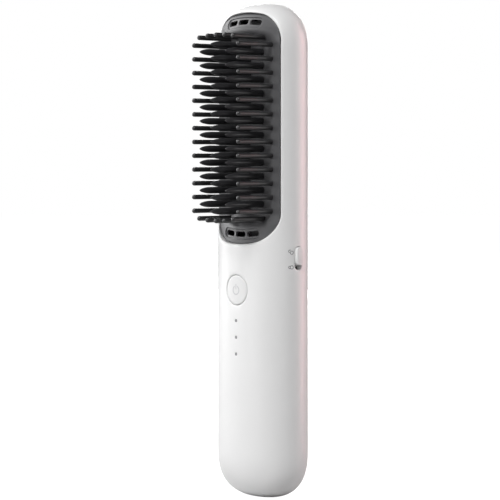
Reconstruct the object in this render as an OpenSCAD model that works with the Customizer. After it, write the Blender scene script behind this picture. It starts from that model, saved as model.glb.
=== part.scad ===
// Cordless hair straightening brush.
// +Z runs up the brush, the teeth point along -Y and the travel lock is on +X.
// The origin is on the flat base, on the axis of the handle.

/* [Body] */
// Length of the body from its flat base to its rounded top
body_length = 205; // [195:1:215]
// Width of the body, side to side
body_width = 43.5; // [41:0.5:46]
// Depth of the body, front to back, without the teeth
body_depth = 30.2; // [29:0.2:33]
// Power of the rounded cross section, where 2 is an ellipse
section_power = 2.1; // [2:0.05:2.4]
// Height over which each end rounds off
end_rise = 20; // [17:0.5:24]
// Power of the rounding of the ends
end_power = 2.6; // [2.2:0.1:3]
// How far the tip of each end leans to the back
end_lean = 1.3; // [0:0.1:2]
// Width of the flat that the brush stands on
base_width = 15.6; // [13:0.2:18]
// Wall of both shells
shell_wall = 2; // [1.6:0.1:2.4]
// Distance of the seam between the shells behind the axis
seam_y = 5; // [4.8:0.1:6]

/* [Face plate] */
// Height of the middle of the head above the base
head_z = 153.1; // [150:0.1:155]
// Width of the plate
plate_width = 37.2; // [36:0.1:38]
// Length of the plate
plate_length = 95.6; // [94:0.1:97]
// Radius of the arched ends
plate_end_r = 48; // [40:1:60]
// Radius of the corners
plate_corner_r = 12; // [9:0.5:14]
// Depth of the plate's crown below the front of the body
plate_inset = 2; // [1.8:0.1:2.4]
// Radius of the crown across the plate
plate_crown_r = 33; // [31:1:38]
// Depth of the flat tooth field below the front of the body
field_depth = 7.2; // [7:0.1:7.5]
// Length of the flat tooth field
field_length = 67; // [66:0.5:68]
// Length of the slope at each end of the tooth field
field_slope = 8; // [7.5:0.1:8.3]
// Thickness of the plate
plate_wall = 1.6; // [1.2:0.1:1.8]
// Gap round the edge of the plate
plate_gap = 0.15; // [0.1:0.05:0.3]
// Width of the ledge that carries the plate
ledge_width = 1.3; // [1:0.1:1.6]
// Thickness of the ledge
ledge_wall = 1.8; // [1.4:0.1:2.2]

/* [Teeth] */
// Distance between rows of the same kind along the head
row_pitch = 5.7; // [5.4:0.05:5.8]
// Rows with three teeth
row_count = 13; // [11:2:13]
// Distance of the outer pins from the middle
outer_x = 13.6; // [13.2:0.1:13.8]
// Distance of the heated side teeth from the middle
side_x = 7.85; // [7.6:0.05:8]
// Radius of the slender pins
pin_r = 1; // [0.9:0.05:1.1]
// Radius of the heated teeth
tooth_r = 1.4; // [1.3:0.05:1.45]
// Length of the pointed tip of a heated tooth
tooth_tip = 6.4; // [5.6:0.2:7]
// Reach of the outer pins in front of the axis
outer_reach = 27; // [25:0.5:28]
// Reach of the heated side teeth
side_reach = 28.2; // [26:0.2:29]
// Reach of the heated middle teeth
middle_reach = 29.2; // [27:0.2:30]
// Distance of the end rows from the middle of the head
end_row_z = 38.1; // [37.8:0.1:38.2]
// Radius of the arc of each end row
end_row_r = 70; // [55:5:90]
// Spacing across an end row
end_row_pitch = 5.2; // [5:0.1:5.3]
// Gap round a tooth in the plate
tooth_gap = 0.4; // [0.3:0.05:0.5]

/* [Vents] */
// Distance of the vents from the middle of the head
vent_z = 43.9; // [43.6:0.1:44.1]
// Width of a vent slot
vent_width = 5.6; // [5:0.1:5.8]
// Height of a vent slot
vent_height = 2.1; // [1.8:0.1:2.3]
// Spacing of the vent slots
vent_pitch = 6.8; // [6.6:0.1:7]
// Radius of the arc that the vents follow
vent_arc_r = 66; // [55:1:80]
// Border of the recess round the vents
vent_border = 1; // [0.8:0.1:1.2]
// Depth of that recess
vent_recess = 0.5; // [0.3:0.1:0.7]

/* [Controls] */
// Height of the power button above the base
button_z = 86.2; // [84:0.1:88]
// Radius of the power button
button_r = 6.2; // [6:0.1:6.6]
// Gap round the power button
button_gap = 0.25; // [0.2:0.05:0.3]
// Travel of the power button
button_travel = 0.4; // [0.3:0.05:0.5]
// Height of the upper indicator
led_z = 73.6; // [72:0.1:74]
// Spacing of the indicators
led_pitch = 6.9; // [6.5:0.1:7]
// Radius of an indicator
led_r = 0.7; // [0.6:0.05:0.8]
// Height of the middle of the lock slot
lock_z = 99.6; // [99.2:0.1:100]
// Distance of the lock slot behind the axis
lock_y = -0.25; // [-0.5:0.05:0.5]
// Length of the lock knob
lock_length = 7.5; // [7:0.1:7.6]
// Width of the lock knob
lock_width = 3.3; // [3:0.1:3.4]
// Travel of the lock knob
lock_travel = 1.9; // [1.7:0.1:2]
// Gap round the lock knob
lock_gap = 0.15; // [0.1:0.05:0.2]
// How far the lock knob stands out of the side
lock_proud = 1.1; // [0.6:0.1:1.3]

/* [Inner parts] */
// Radius of the battery cell
cell_r = 9.2; // [9.1:0.05:9.25]
// Length of the battery cell
cell_length = 65.2; // [64.8:0.1:65.4]
// Thickness of the circuit boards
board_wall = 1; // [0.8:0.1:1.1]
// Height of the lower edge of the main board
board_low = 44; // [42:0.5:46]
// Height of the upper edge of the main board
board_high = 102; // [101.5:0.1:102.5]
// Width of the main board
board_width = 24.4; // [24:0.1:25]
// Thickness of the heated base plate
comb_wall = 2.2; // [2:0.1:2.3]
// Thickness of the ceramic heater
heater_wall = 1.2; // [1:0.1:1.4]
// Thickness of the insulating sheet
sheet_wall = 0.3; // [0.2:0.05:0.4]
// Thickness of the clamp plate
clamp_wall = 0.6; // [0.5:0.05:0.7]
// Thickness of the head carrier
carrier_wall = 1.6; // [1.4:0.1:2]
// Shank radius of the screws
screw_r = 0.95; // [0.9:0.05:1]
// Head radius of the screws
screw_head_r = 1.7; // [1.6:0.05:1.8]
// Head height of the screws
screw_head = 0.9; // [0.8:0.05:1]

/* [Hidden] */

half_w = body_width / 2;
half_d = body_depth / 2;
around = 48;
end_steps = 9;
lean_power = 7;
eps = 0.01;

// The rounding of an end: how much of the section is left at a share of the rise
function left_at(share) = pow(1 - pow(share, end_power), 1 / end_power);
base_share = pow(1 - pow(base_width / body_width, end_power), 1 / end_power);
base_sink = end_rise * (1 - base_share);

// Half of the front depth of the section at x, for half sizes w and d
function section_y(x, w, d) =
    abs(x) >= w ? 0 : d * pow(1 - pow(abs(x) / w, section_power), 1 / section_power);

// One ring of the section, scaled by k, at height z, leaning back by a shift
function ring(w, d, k, z, shift) =
    [for (i = [0:around - 1])
        let (a = 360 * (i + 0.5) / around, c = cos(a), s = sin(a))
        [w * k * sign(c) * pow(abs(c), 2 / section_power),
         shift + d * k * sign(s) * pow(abs(s), 2 / section_power), z]];

// Rings of the body drawn in by g, from the base to the top
function end_angles(low) =
    let (first = asin(pow(low, end_power / 2)))
    [for (i = [0:end_steps]) first + (90 - first) * i / end_steps];
function body_rings(g, low, high) =
    let (w = half_w - g, d = half_d - g, rise = end_rise - g,
         z0 = g - base_sink, z1 = body_length - g,
         up = end_angles(low), down = end_angles(high))
    concat(
        [for (a = up) let (t = pow(cos(a), 2 / end_power))
            ring(w, d, pow(sin(a), 2 / end_power), z0 + rise * (1 - t),
                 end_lean * pow(t, lean_power))],
        [for (i = [end_steps:-1:0]) let (a = down[i], t = pow(cos(a), 2 / end_power))
            ring(w, d, pow(sin(a), 2 / end_power), z1 - rise * (1 - t),
                 end_lean * pow(t, lean_power))]);

// A closed solid through the rings, with flat ends
module ring_solid(rings) {
    n = len(rings[0]);
    last = len(rings) - 1;
    straight = end_steps;
    polyhedron(
        points = [for (r = rings) for (p = r) p],
        faces = concat(
            [[for (i = [0:n - 1]) i]],
            [[for (i = [n - 1:-1:0]) last * n + i]],
            [for (j = [0:last - 1]) if (j != straight) for (i = [0:n - 1])
                [j * n + i, (j + 1) * n + i, j * n + (i + 1) % n]],
            [for (j = [0:last - 1]) if (j != straight) for (i = [0:n - 1])
                [j * n + (i + 1) % n, (j + 1) * n + i, (j + 1) * n + (i + 1) % n]],
            [for (i = [0:n - 1])
                [straight * n + i, (straight + 1) * n + i,
                 (straight + 1) * n + (i + 1) % n, straight * n + (i + 1) % n]]),
        convexity = 6);
}

module body_form() ring_solid(body_rings(0, base_width / body_width, 0.12));

module cavity_form() ring_solid(body_rings(shell_wall, 0.3, 0.3));

// A solid that fills everything from y0 to y1, larger than the body
module slab(y0, y1) {
    translate([-half_w - 5, y0, -5])
        cube([body_width + 10, y1 - y0, body_length + 10]);
}

// Extrudes a flat shape, drawn in X and Z, from y0 to y1
module along_y(y0, y1) {
    translate([0, y1, 0])
        rotate([90, 0, 0])
            linear_extrude(y1 - y0) children();
}

// A rod along Y from y0 to y1
module rod(x, z, r, y0, y1) {
    translate([x, y1, z])
        rotate([90, 0, 0])
            cylinder(r = r, h = y1 - y0, $fn = 32);
}

// The outline of the face plate, drawn in by g
plate_half_w = plate_width / 2;
plate_half_l = plate_length / 2;
corner_x = plate_half_w - plate_corner_r;
arc_z = plate_half_l - plate_end_r;
corner_z = arc_z + sqrt(pow(plate_end_r - plate_corner_r, 2) - pow(corner_x, 2));
corner_turn = atan2(corner_x, corner_z - arc_z);
function outline_quarter(g) = concat(
    [for (i = [0:3]) let (a = corner_turn * i / 4)
        [(plate_end_r - g) * sin(a), arc_z + (plate_end_r - g) * cos(a)]],
    [for (i = [0:8]) let (a = corner_turn + (90 - corner_turn) * i / 8)
        [corner_x + (plate_corner_r - g) * sin(a), corner_z + (plate_corner_r - g) * cos(a)]]);
function outline(g) =
    let (q = outline_quarter(g), n = len(q))
    [for (p = concat(
        [for (i = [0:n - 1]) q[i]],
        [for (i = [n - 1:-1:0]) [q[i][0], -q[i][1]]],
        [for (i = [1:n - 1]) [-q[i][0], -q[i][1]]],
        [for (i = [n - 1:-1:1]) [-q[i][0], q[i][1]]])) [p[0], p[1] + head_z]];

// The surface of the plate: crowned ends that follow the front of the body and its rounded
// top, and between them a flat sunken field for the teeth
function plate_crown(x, z) =
    let (t = max(0, 1 - (body_length - z) / end_rise),
         sag = plate_crown_r - sqrt(pow(plate_crown_r, 2) - pow(x, 2)))
    sag + plate_inset + end_lean * pow(t, lean_power) - half_d * left_at(t);
field_y = field_depth - half_d;
field_half_l = field_length / 2;
function field_share(z) =
    let (s = max(0, min(1, 1 - (abs(z - head_z) - field_half_l) / field_slope)))
    s * s * (3 - 2 * s);
function plate_y(x, z) =
    let (crown = plate_crown(x, z)) crown + (field_y - crown) * field_share(z);

// A solid between the plate surface moved by a and by b, wider than the plate
crown_cols = 16;
crown_rows = 7;
crown_half_w = plate_half_w + 1.4;
crown_low = head_z - plate_half_l - 3;
slope_rows = 6;
slope_end = head_z + field_half_l + field_slope;
crown_high = body_length - end_rise * 0.1;
crown_z = concat([crown_low],
    [for (i = [0:slope_rows])
        head_z - field_half_l - field_slope * (1 - i / slope_rows)],
    [for (i = [0:slope_rows]) head_z + field_half_l + field_slope * i / slope_rows],
    [for (i = [1:crown_rows])
        crown_high - (crown_high - slope_end) * pow(1 - i / crown_rows, 1.6)]);
module crown_block(a, b) {
    m = crown_cols + 1;
    n = len(crown_z);
    xs = [for (i = [0:crown_cols]) crown_half_w * (2 * i / crown_cols - 1)];
    count = m * n;
    polyhedron(
        points = concat(
            [for (z = crown_z) for (x = xs) [x, plate_y(x, z) + a, z]],
            [for (z = crown_z) for (x = xs) [x, plate_y(x, z) + b, z]]),
        faces = concat(
            [for (i = [0:m - 2]) [i, m + i, m + i + 1, i + 1]],
            [for (i = [0:m - 2]) [count + i + 1, count + m + i + 1, count + m + i, count + i]],
            [for (j = [1:n - 2]) for (i = [0:m - 2]) let (low = j * m + i)
                [low, low + m, low + 1]],
            [for (j = [1:n - 2]) for (i = [0:m - 2]) let (low = j * m + i)
                [low + m, low + m + 1, low + 1]],
            [for (j = [1:n - 2]) for (i = [0:m - 2]) let (low = count + j * m + i)
                [low + 1, low + m, low]],
            [for (j = [1:n - 2]) for (i = [0:m - 2]) let (low = count + j * m + i)
                [low + 1, low + m + 1, low + m]],
            [concat([for (i = [0:m - 1]) i], [for (i = [m - 1:-1:0]) count + i])],
            [concat([for (i = [m - 1:-1:0]) (n - 1) * m + i],
                    [for (i = [0:m - 1]) count + (n - 1) * m + i])],
            [for (j = [0:n - 2]) [j * m, count + j * m, count + (j + 1) * m, (j + 1) * m]],
            [for (j = [0:n - 2]) let (low = j * m + m - 1)
                [low, low + m, count + low + m, count + low]]),
        convexity = 6);
}

// The stack behind the plate, from the front of the heated base to the rear shell
comb_gap = 0.3;
comb_front = field_y + plate_wall + comb_gap + screw_head;
comb_back = comb_front + comb_wall;
heater_back = comb_back + heater_wall;
sheet_back = heater_back + sheet_wall;
carrier_front = sheet_back + clamp_wall;
carrier_back = carrier_front + carrier_wall;
frame_front = comb_back;

// Places of the teeth, as [x, z]
tooth_half = (row_count - 1) / 2;
outer_places = [for (s = [-1, 1]) for (i = [-tooth_half:tooth_half])
    [s * outer_x, head_z + i * row_pitch]];
end_places = [for (s = [-1, 1]) for (i = [-2:2])
    let (x = i * end_row_pitch)
    [x, head_z + s * (end_row_z - end_row_r + sqrt(pow(end_row_r, 2) - pow(x, 2)))]];
middle_places = [for (i = [-tooth_half:tooth_half]) [0, head_z + i * row_pitch]];
side_places = [for (s = [-1, 1]) for (i = [-tooth_half + 0.5:tooth_half - 0.5])
    [s * side_x, head_z + i * row_pitch]];

module pin(place, reach, root) {
    rod(place[0], place[1], pin_r, pin_r - reach, root);
    translate([place[0], pin_r - reach, place[1]])
        sphere(r = pin_r, $fn = 24);
}

module heated_tooth(place, reach, root) {
    length = root + reach;
    steps = 6;
    translate([place[0], root, place[1]])
        rotate([90, 0, 0])
            rotate_extrude($fn = 24)
                polygon(concat(
                    [[0, 0], [tooth_r, 0]],
                    [for (i = [0:steps]) let (t = i / steps)
                        [tooth_r * pow(1 - t * t, 0.65), length - tooth_tip * (1 - t)]]));
}

// Screws along Y, with the head in front of a face
screw_clear = 0.1;
module screw(x, z, face, length) {
    rod(x, z, screw_head_r, face - screw_head, face);
    rod(x, z, screw_r, face - eps, face + length);
}

carrier_screw_x = 12;
carrier_screw_z = row_pitch * (tooth_half - 0.5);
carrier_screw_places = [for (sx = [-1, 1]) for (sz = [-1, 1])
    [sx * carrier_screw_x, head_z + sz * carrier_screw_z]];
comb_screw_places = [for (sx = [-1, 1]) for (sz = [-1, 1])
    [sx * side_x / 2, head_z + sz * (row_pitch * tooth_half - 0.9)]];
carrier_bite = 5.5;
boss_r = 2.8;
pilot_r = screw_r + 0.05;

// The cell, its cradle and the main board
cell_y = half_d - shell_wall - cell_r - 0.6;
cell_low = 13;
cell_high = cell_low + cell_length;
tab_wall = 0.3;
tab_r = 5;
tab_width = 4;
rail_in = cell_r + 0.4;
rail_out = 12.6;
board_back = cell_y - cell_r - 0.5;
board_front = board_back - board_wall;
rail_front = board_back;
rail_back = 6;
cradle_wall = 2;
cradle_low = cell_low - tab_wall - cradle_wall;
cradle_high = board_high + 1;
floor_y = 5;
cradle_top_screw = [0, cradle_high - 3.4];
ear_x = 14.5;
ear_z = 30;
cradle_screw_places = [cradle_top_screw, [-ear_x, ear_z], [ear_x, ear_z]];
ear_front = rail_back - cradle_wall;
board_bite = 4;
cradle_bite = 4.5;
ear_bite = 2.7;
board_screw_x = (rail_in + rail_out) / 2;
board_screw_places = [for (sx = [-1, 1]) for (z = [board_low + 3, board_high - 3])
    [sx * board_screw_x, z]];

// The power button and the switch behind it
button_flange_r = button_r + 1;
button_flange_front = -section_y(button_flange_r, half_w - shell_wall, half_d - shell_wall) + 0.2;
button_flange = 0.9;
tact_size = 6;
tact_height = 2.5;
tact_front = board_front - tact_height;
plunger_r = 1.7;
plunger_front = tact_front - 0.8;
mark_depth = 0.15;

// The lock: its slot is in the side of the front shell
lock_slot_length = lock_length + lock_travel + 2 * lock_gap;
lock_knob_z = lock_z + lock_travel / 2;
lock_flange = 1;
lock_flange_y = 5;
lock_flange_x = section_y(abs(lock_y) + lock_flange_y / 2, half_d - shell_wall,
                          half_w - shell_wall) - 0.3;
switch_out = lock_flange_x - lock_flange - 0.1;
switch_in = rail_out + board_wall;
slider_width = 1.6;
slider_length = 2.4;
slider_sink = 1.4;

// The charging socket stands in the base
socket_y = 2.4;
socket_width = 8.94;
socket_depth = 3.26;
socket_low = 0.6;
socket_length = 7.3;
socket_wall = 0.3;
socket_gap = 0.2;

// A pill shape in X and Y, for the socket and its opening
module pill(width, depth) {
    for (s = [-1, 1])
        translate([s * (width - depth) / 2, 0])
            circle(d = depth, $fn = 32);
    square([width - depth, depth], center = true);
}

// A pill shape on the side of the brush, from x0 to x1, upright
module side_pill(width, length, y, z, x0, x1) {
    translate([x0, y, z]) {
        rotate([90, 0, 90])
            linear_extrude(x1 - x0) {
                square([width, length - width], center = true);
                for (s = [-1, 1])
                    translate([0, s * (length - width) / 2])
                        circle(d = width, $fn = 32);
            }
    }
}

// Shells

seat_border = 1.15;

module front_shell() {
    color("whitesmoke")
        difference() {
            union() {
                difference() {
                    intersection() {
                        body_form();
                        slab(-half_d - 5, seam_y);
                    }
                    cavity_form();
                }
                plate_seat();
            }
            intersection() {
                along_y(-half_d - 4, 0) polygon(outline(-plate_gap));
                crown_block(-8, plate_wall);
            }
            along_y(-half_d - 4, 0) polygon(outline(ledge_width));
            rod(0, button_z, button_r + button_gap, -half_d - 2, board_front);
            for (i = [0:2])
                rod(0, led_z - i * led_pitch, led_r, -half_d - 2, board_front);
            side_pill(lock_width + 2 * lock_gap, lock_slot_length, lock_y, lock_z,
                      lock_flange_x, half_w + 2);
            translate([0, socket_y, -1])
                linear_extrude(5)
                    pill(socket_width + 2 * socket_gap, socket_depth + 2 * socket_gap);
        }
}

// The collar and the ledge round the plate, as part of the front shell
module plate_seat() {
    intersection() {
        body_form();
        along_y(-half_d - 4, 0) polygon(outline(-seat_border));
        crown_block(-8, plate_wall + ledge_wall);
    }
}

module rear_shell() {
    color("whitesmoke") {
        difference() {
            union() {
                difference() {
                    intersection() {
                        body_form();
                        slab(seam_y, half_d + 5);
                    }
                    cavity_form();
                }
                intersection() {
                    body_form();
                    union() {
                        for (p = carrier_screw_places)
                            rod(p[0], p[1], boss_r, carrier_back, half_d);
                        rod(cradle_top_screw[0], cradle_top_screw[1], boss_r,
                            floor_y + cradle_wall, half_d);
                        for (s = [-1, 1])
                            rod(s * ear_x, ear_z, 2.2, rail_back, half_d);
                    }
                }
            }
            for (p = carrier_screw_places)
                rod(p[0], p[1], pilot_r, carrier_back - 1, carrier_back + 6);
            rod(cradle_top_screw[0], cradle_top_screw[1], pilot_r, floor_y, floor_y + cradle_wall + 5);
            for (s = [-1, 1])
                rod(s * ear_x, ear_z, pilot_r, ear_front, rail_back + 3);
        }
    }
}

module face_plate() {
    color("gray")
        difference() {
            intersection() {
                along_y(-half_d - 4, 0) polygon(outline(0));
                crown_block(0, plate_wall);
            }
            for (p = concat(outer_places, end_places))
                rod(p[0], p[1], pin_r + tooth_gap, -half_d - 2, 0);
            for (p = concat(middle_places, side_places))
                rod(p[0], p[1], tooth_r + tooth_gap, -half_d - 2, 0);
            for (s = [-1, 1])
                vents(s);
        }
}

// The three slots of one end and the recess round them
module vents(s) {
    centre = head_z + s * (vent_z - vent_arc_r);
    step = 2 * asin(vent_pitch / 2 / vent_arc_r);
    span = 2 * asin(vent_width / 2 / vent_arc_r);
    edge = 2 * asin(vent_border / 2 / vent_arc_r);
    for (i = [-1:1])
        along_y(-half_d - 2, 0)
            arc_band(centre, s, vent_height, i * step - span / 2, i * step + span / 2);
    intersection() {
        along_y(-half_d - 2, 0)
            arc_band(centre, s, vent_height + 2 * vent_border, -step - span / 2 - edge,
                     step + span / 2 + edge);
        crown_block(-4, vent_recess);
    }
}

// A band of the vent arc, from angle a to angle b
module arc_band(centre, s, height, a, b) {
    steps = 5;
    inner = vent_arc_r - height / 2;
    outer = vent_arc_r + height / 2;
    polygon(concat(
        [for (i = [0:steps]) let (t = a + (b - a) * i / steps)
            [outer * sin(t), centre + s * outer * cos(t)]],
        [for (i = [steps:-1:0]) let (t = a + (b - a) * i / steps)
            [inner * sin(t), centre + s * inner * cos(t)]]));
}

// Heated teeth, guard pins and what lies behind them

comb_half_w = side_x + tooth_r + 0.35;
comb_half_l = row_pitch * tooth_half + tooth_r + 0.6;
module comb_base() {
    color("#1c1c1e")
        difference() {
            translate([-comb_half_w, comb_front, head_z - comb_half_l])
                cube([2 * comb_half_w, comb_wall, 2 * comb_half_l]);
            for (p = comb_screw_places)
                rod(p[0], p[1], screw_r + screw_clear, comb_front - 0.1, comb_back + 0.1);
        }
}

module heated_teeth() {
    color("#1c1c1e") {
        for (p = middle_places)
            heated_tooth(p, middle_reach, comb_front);
        for (p = side_places)
            heated_tooth(p, side_reach, comb_front);
    }
}

frame_half_w = outer_x + 1.6;
frame_half_l = end_row_z + 1.9;
frame_corner = 5;
frame_in_w = comb_half_w + 1;
frame_in_l = comb_half_l + 0.45;
module pin_frame() {
    color("#1c1c1e")
        difference() {
            along_y(frame_front, carrier_front)
                rounded(frame_half_w, frame_half_l, frame_corner);
            along_y(frame_front - 0.1, carrier_front + 0.1)
                translate([-frame_in_w, head_z - frame_in_l])
                    square([2 * frame_in_w, 2 * frame_in_l]);
            for (p = carrier_screw_places)
                rod(p[0], p[1], screw_r + screw_clear, frame_front - 0.1, carrier_front + 0.1);
        }
}

module guard_pins() {
    color("#1c1c1e") {
        for (p = outer_places)
            pin(p, outer_reach, frame_front);
        for (p = end_places)
            pin(p, outer_reach, frame_front);
    }
}

// A rectangle with round corners, centred on the head
module rounded(w, l, r) {
    translate([0, head_z]) {
        square([2 * w, 2 * (l - r)], center = true);
        square([2 * (w - r), 2 * l], center = true);
        for (sx = [-1, 1])
            for (sz = [-1, 1])
                translate([sx * (w - r), sz * (l - r)])
                    circle(r = r, $fn = 48);
    }
}

heater_half_w = 6;
heater_half_l = 26;
module heater() {
    color("ivory")
        translate([-heater_half_w, comb_back, head_z - heater_half_l])
            cube([2 * heater_half_w, heater_wall, 2 * heater_half_l]);
}

module insulation_sheet() {
    color("tan")
        translate([-heater_half_w - 0.6, heater_back, head_z - heater_half_l - 1.4])
            cube([2 * heater_half_w + 1.2, sheet_wall, 2 * heater_half_l + 2.8]);
}

module clamp_plate() {
    color("silver")
        translate([-heater_half_w - 0.4, sheet_back, head_z - heater_half_l - 1])
            cube([2 * heater_half_w + 0.8, clamp_wall, 2 * heater_half_l + 2]);
}

sensor_x = heater_half_w + 1.9;
sensor_r = 0.9;
module thermistor() {
    color("saddlebrown") {
        translate([sensor_x, comb_back + sensor_r, head_z - 2])
            cylinder(r = sensor_r, h = 4, $fn = 24);
    }
}

fuse_r = 0.95;
module thermal_fuse() {
    color("gainsboro") {
        translate([-sensor_x, comb_back + fuse_r, head_z - 4.5])
            cylinder(r = fuse_r, h = 9, $fn = 24);
    }
}

carrier_inset = 2.6;
lead_hole_z = head_z - heater_half_l - 3.6;
lead_x = 1.1;
lead_r = 0.55;
lead_clear = 0.3;
lead_y = carrier_back + 1.8;
ion_lead_x = 4.6;
ion_z = vent_z - 2;
module head_carrier() {
    color("#3a3a3c")
        difference() {
            union() {
                along_y(carrier_front, carrier_back) polygon(outline(carrier_inset));
                for (p = comb_screw_places)
                    rod(p[0], p[1], 2.2, comb_back, carrier_front + eps);
            }
            for (p = comb_screw_places)
                rod(p[0], p[1], pilot_r, comb_back - 0.1, carrier_back + 0.1);
            for (p = carrier_screw_places)
                rod(p[0], p[1], screw_r + screw_clear, carrier_front - 0.1, carrier_back + 0.1);
            for (s = [-1, 1]) {
                rod(s * lead_x, lead_hole_z, lead_r + lead_clear, carrier_front - 0.1, carrier_back + 0.1);
                rod(s * ion_lead_x, head_z + s * ion_z, lead_r + lead_clear, carrier_front - 0.1,
                    carrier_back + 0.1);
            }
        }
}

// Ion outlets: a holder with three needles behind each group of vents
ion_half_w = 9;
ion_depth = 2.4;
ion_height = 3.2;
module ion_holder(s) {
    color("#2c2c2e")
        translate([-ion_half_w, carrier_front - ion_depth, head_z + s * ion_z - ion_height / 2])
            cube([2 * ion_half_w, ion_depth, ion_height]);
}

module ion_needles(s) {
    color("silver")
        for (i = [-1:1])
            rod(i * vent_pitch, head_z + s * ion_z, 0.35, carrier_front - ion_depth - 1.2,
                carrier_front - ion_depth);
}

module ion_holder_top() ion_holder(1);
module ion_holder_bottom() ion_holder(-1);
module ion_needles_top() ion_needles(1);
module ion_needles_bottom() ion_needles(-1);

ion_module_half_w = 8.4;
ion_module_low = cell_high + tab_wall + cradle_wall + 1;
ion_module_height = 14.5;
ion_module_high = ion_module_low + ion_module_height;
ion_module_front = board_back + 0.8;
module ion_module() {
    color("dimgray")
        translate([-ion_module_half_w, ion_module_front, ion_module_low])
            cube([2 * ion_module_half_w, floor_y - ion_module_front,
                  ion_module_high - ion_module_low]);
}

// Battery and its cradle

module battery_cell() {
    color("steelblue")
        translate([0, cell_y, cell_low])
            cylinder(r = cell_r, h = cell_length, $fn = 64);
}

module cell_tab(z, front) {
    color("silver") {
        translate([0, cell_y, z])
            cylinder(r = tab_r, h = tab_wall, $fn = 32);
        translate([-tab_width / 2, front, z])
            cube([tab_width, cell_y - front, tab_wall]);
    }
}

module cell_tab_low() cell_tab(cell_low - tab_wall, board_front);
module cell_tab_high() cell_tab(cell_high, board_back);

module cradle() {
    color("#4a4a4c")
        difference() {
            union() {
                for (s = [-1, 1])
                    translate([s > 0 ? rail_in : -rail_out, rail_front, cradle_low])
                        cube([rail_out - rail_in, rail_back - rail_front, cradle_high - cradle_low]);
                for (z = [cradle_low, cell_high + tab_wall])
                    translate([-rail_out, rail_front, z])
                        cube([2 * rail_out, rail_back - rail_front, cradle_wall]);
                translate([-rail_out, floor_y, cell_high + tab_wall])
                    cube([2 * rail_out, cradle_wall, cradle_high - cell_high - tab_wall]);
                for (s = [-1, 1])
                    translate([s > 0 ? rail_out - eps : -ear_x - 2.2, ear_front, ear_z - 3])
                        cube([ear_x + 2.2 - rail_out + eps, cradle_wall, 6]);
            }
            for (p = cradle_screw_places)
                rod(p[0], p[1], screw_r + screw_clear, ear_front - 3, floor_y + cradle_wall + 1);
            for (p = board_screw_places)
                rod(p[0], p[1], pilot_r, rail_front - 0.1, rail_front + board_bite + 1);
        }
}

// Main board and its parts

module main_board() {
    color("seagreen")
        difference() {
            translate([-board_width / 2, board_front, board_low])
                cube([board_width, board_wall, board_high - board_low]);
            for (p = board_screw_places)
                rod(p[0], p[1], screw_r + screw_clear, board_front - 0.1, board_back + 0.1);
        }
}

// Chips as [x, height over the board's lower edge, width, depth, length]
chips = [[-5, 5, 5, 0.9, 5], [4.5, 6, 4, 1.8, 4], [-6, 16, 3, 0.8, 4], [6, 23, 4, 1, 3],
         [6, 51, 5, 1.2, 4], [-6, 51, 4, 2.4, 4]];
module board_chips() {
    color("#202022")
        for (c = chips)
            translate([c[0] - c[2] / 2, board_front - c[3], board_low + c[1]])
                cube([c[2], c[3], c[4]]);
}

module tact_switch() {
    color("#2a2a2c")
        difference() {
            translate([-tact_size / 2, tact_front, button_z - tact_size / 2])
                cube([tact_size, tact_height, tact_size]);
            rod(0, button_z, plunger_r + 0.05, tact_front - 0.1, tact_front + 2);
        }
}

module tact_plunger() {
    color("#5a5a5c")
        rod(0, button_z, plunger_r, plunger_front, tact_front + 1.2);
}

module power_button() {
    color("whitesmoke")
        difference() {
            union() {
                intersection() {
                    rod(0, button_z, button_r, -half_d - 2, button_flange_front + eps);
                    body_form();
                }
                rod(0, button_z, button_flange_r, button_flange_front,
                    button_flange_front + button_flange);
                rod(0, button_z, 2, button_flange_front, plunger_front - 0.02);
            }
            mark_shape(-half_d - 1, -half_d + mark_depth);
        }
}

// The ring and the stroke of the power sign, from y0 to y1
mark_r = 1.75;
mark_line = 0.5;
module mark_shape(y0, y1) {
    along_y(y0, y1)
        translate([0, button_z]) {
            difference() {
                circle(r = mark_r + mark_line / 2, $fn = 48);
                circle(r = mark_r - mark_line / 2, $fn = 48);
                translate([-0.75, 0])
                    square([1.5, mark_r + 1]);
            }
            translate([-mark_line / 2, 0.35])
                square([mark_line, mark_r + 0.35]);
        }
}

module button_mark() {
    color("silver")
        mark_shape(-half_d, -half_d + mark_depth);
}

guide_bar_width = 2.2;
guide_bar_depth = 0.8;
guide_bar_end = 1.2;
module light_pipe() {
    bar_front = -half_d + shell_wall + 0.2;
    color("white") {
        for (i = [0:2])
            rod(0, led_z - i * led_pitch, led_r - 0.05, -half_d + 0.05, board_front - 1);
        translate([-guide_bar_width / 2, bar_front, led_z - 2 * led_pitch - guide_bar_end])
            cube([guide_bar_width, guide_bar_depth, 2 * (led_pitch + guide_bar_end)]);
    }
}

module indicator_leds() {
    color("lightyellow")
        for (i = [0:2])
            translate([-0.8, board_front - 0.8, led_z - i * led_pitch - 0.6])
                cube([1.6, 0.8, 1.2]);
}

// Travel lock

module lock_knob() {
    color("whitesmoke")
        difference() {
            union() {
                side_pill(lock_width, lock_length, lock_y, lock_knob_z,
                          lock_flange_x - lock_flange, half_w + lock_proud);
                translate([lock_flange_x - lock_flange, lock_y - lock_flange_y / 2,
                           lock_knob_z - lock_length / 2 - 1])
                    cube([lock_flange, lock_flange_y, lock_length + 2]);
            }
            translate([lock_flange_x - lock_flange - 0.1, lock_y - slider_width / 2 - 0.05,
                       lock_knob_z - slider_length / 2 - 0.05])
                cube([slider_sink + 0.2, slider_width + 0.1, slider_length + 0.1]);
        }
}

module switch_slider() {
    color("#202022")
        translate([switch_out - 1.5, lock_y - slider_width / 2, lock_knob_z - slider_length / 2])
            cube([lock_flange_x - lock_flange + slider_sink - switch_out + 1.5, slider_width,
                  slider_length]);
}

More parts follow.
